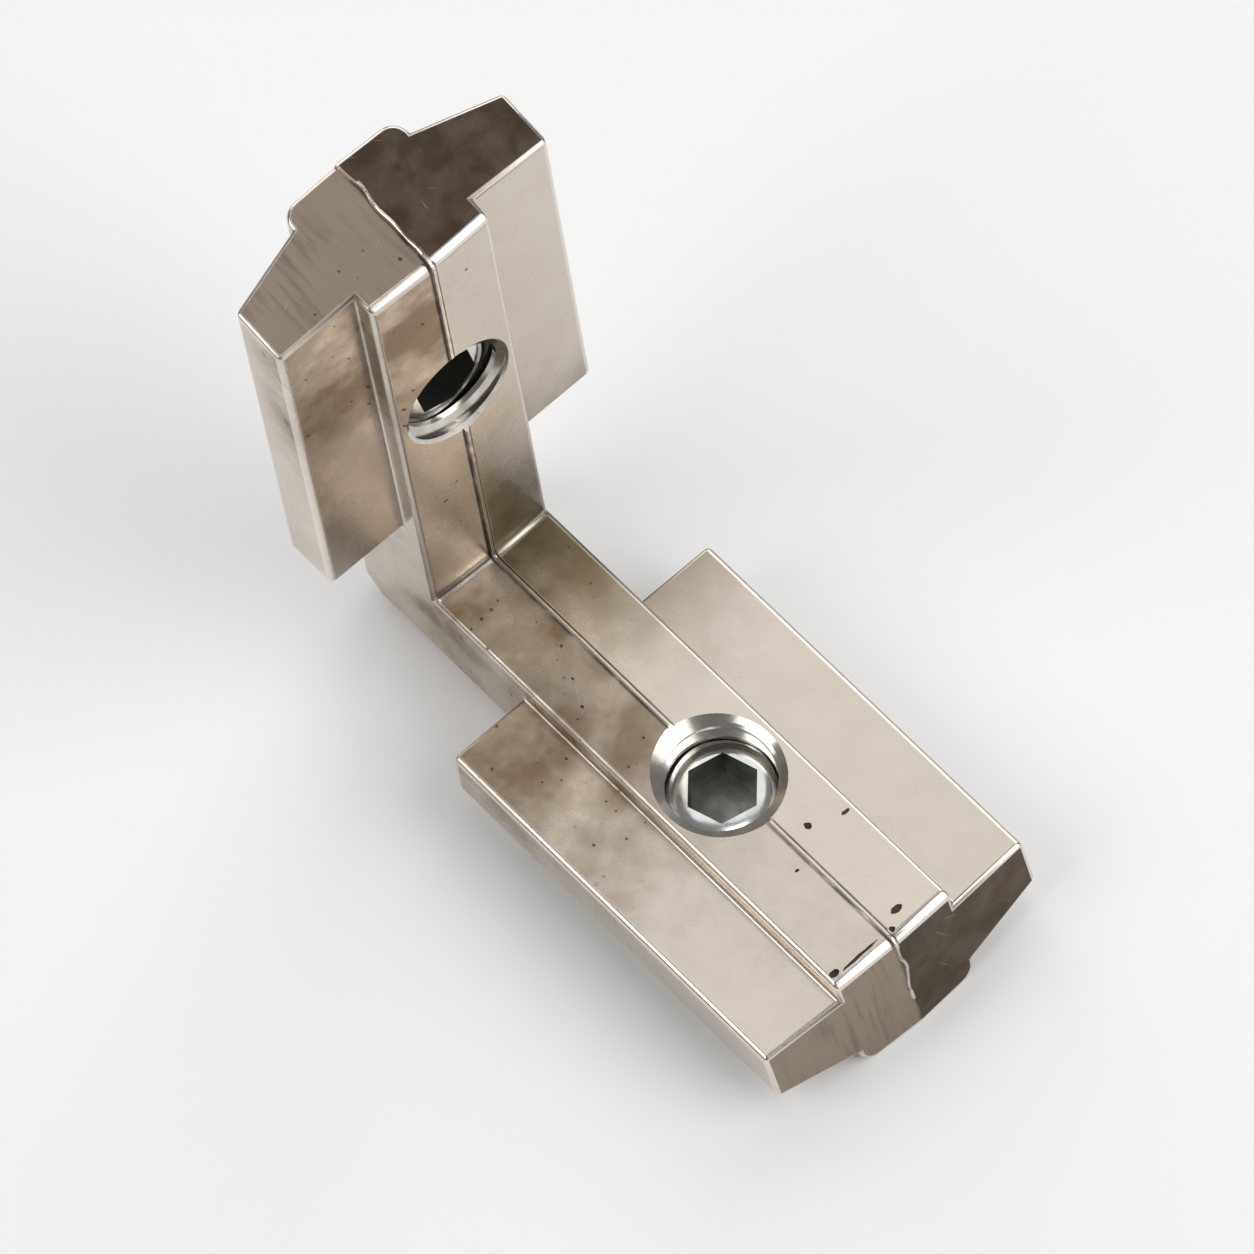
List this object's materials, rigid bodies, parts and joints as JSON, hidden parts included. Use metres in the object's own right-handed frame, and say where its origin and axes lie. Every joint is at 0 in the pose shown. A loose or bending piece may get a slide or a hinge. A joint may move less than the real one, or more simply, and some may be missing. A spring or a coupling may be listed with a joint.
{
  "type": "hidden corner bracket",
  "caption": "Die-cast L bracket with T-nut arms that hide in the slots of framing bars meeting at a right angle, clamped by hexagon-socket set screws.",
  "frame": {"origin": "centre of the bounding box, on the plane of the horizontal arm's back", "axes": "+Z along the vertical arm, +X along the horizontal arm, +Y across the arms, square to the parting plane"},
  "size_m": [0.0332, 0.015, 0.0333],
  "materials": {
    "nickel_plated_casting": "satin, warm nickel over a die-cast skin",
    "bright_zinc_steel": "bright plated"
  },
  "bodies": {
    "bracket": {"bracket_body": "nickel_plated_casting"},
    "horizontal_screw": {"set_screw_horizontal": "bright_zinc_steel"},
    "vertical_screw": {"set_screw_vertical": "bright_zinc_steel"}
  },
  "joints": [
    {"name": "horizontal_screw_travel", "type": "slide", "parent": "bracket", "child": "horizontal_screw", "axis": [0, 0, 1], "range_m": [-0.002, 0.001]},
    {"name": "vertical_screw_travel", "type": "slide", "parent": "bracket", "child": "vertical_screw", "axis": [1, 0, 0], "range_m": [-0.002, 0.001]}
  ]
}
